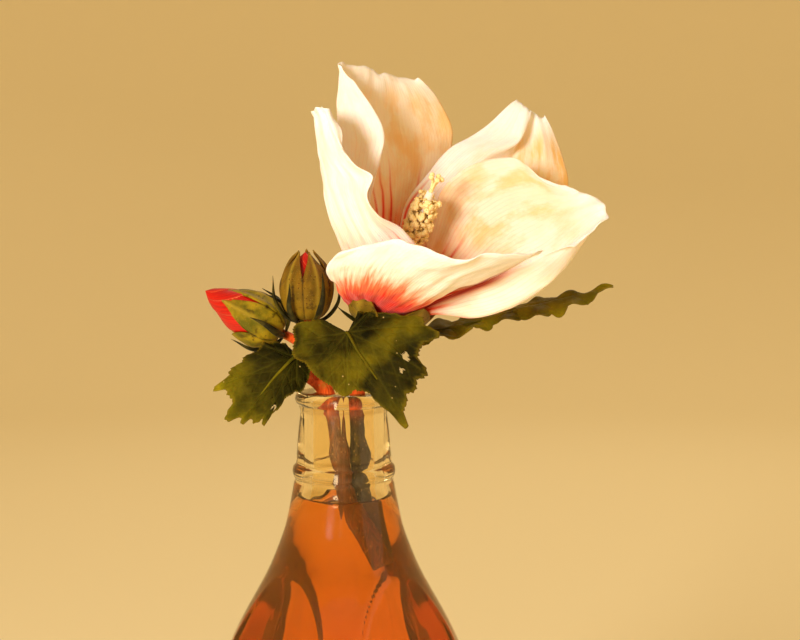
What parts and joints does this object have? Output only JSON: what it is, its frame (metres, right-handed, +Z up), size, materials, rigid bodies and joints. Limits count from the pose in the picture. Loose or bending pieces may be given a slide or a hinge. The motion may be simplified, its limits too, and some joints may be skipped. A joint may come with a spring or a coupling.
{
  "type": "hibiscus in a bottle",
  "caption": "Cut hibiscus twigs with an open pale flower, red-tipped buds and toothed leaves, standing in a clear glass bottle of water.",
  "frame": {"origin": "centre of the bottle's flat underside", "axes": "+Z up along the bottle, -Y towards the front of the arrangement, +X to the side the flower leans to"},
  "size_m": [0.1173, 0.0955, 0.2819],
  "materials": {
    "clear_glass": "clear, pressed, with softly rounded relief",
    "water": "still, clear, warm orange in the light",
    "bark": "dull red-brown bark with small pores",
    "petal": "thin, matt and velvety, with a red throat",
    "pollen": "powdery cream",
    "sepal": "dull green-brown, speckled",
    "bud_petal": "silky red",
    "leaf": "leathery green with fine veins",
    "stalk": "dull dark green"
  },
  "bodies": {
    "root": {"bottle": "clear_glass", "water": "water", "bud_twig": "bark", "flower_twig": "bark", "petal_back_right": "petal", "petal_back_left": "petal", "petal_left": "petal", "petal_front": "petal", "petal_right": "petal", "staminal_column": "petal", "anthers": "pollen", "stigma": "pollen", "flower_calyx": "sepal", "centre_bud_calyx": "sepal", "left_bud_calyx": "sepal", "centre_bud_petals": "bud_petal", "left_bud_petals": "bud_petal", "front_leaf": "leaf", "left_leaf": "leaf", "right_leaf": "leaf", "flower_bract_1": "stalk", "flower_bract_2": "stalk", "flower_bract_3": "stalk", "flower_bract_4": "stalk", "flower_bract_5": "stalk", "flower_bract_6": "stalk", "centre_bud_bract_1": "stalk", "centre_bud_bract_2": "stalk", "centre_bud_bract_3": "stalk", "centre_bud_bract_4": "stalk", "centre_bud_bract_5": "stalk", "centre_bud_bract_6": "stalk", "left_bud_bract_1": "stalk", "left_bud_bract_2": "stalk", "left_bud_bract_3": "stalk", "left_bud_bract_4": "stalk", "left_bud_bract_5": "stalk", "left_bud_bract_6": "stalk"}
  },
  "joints": []
}
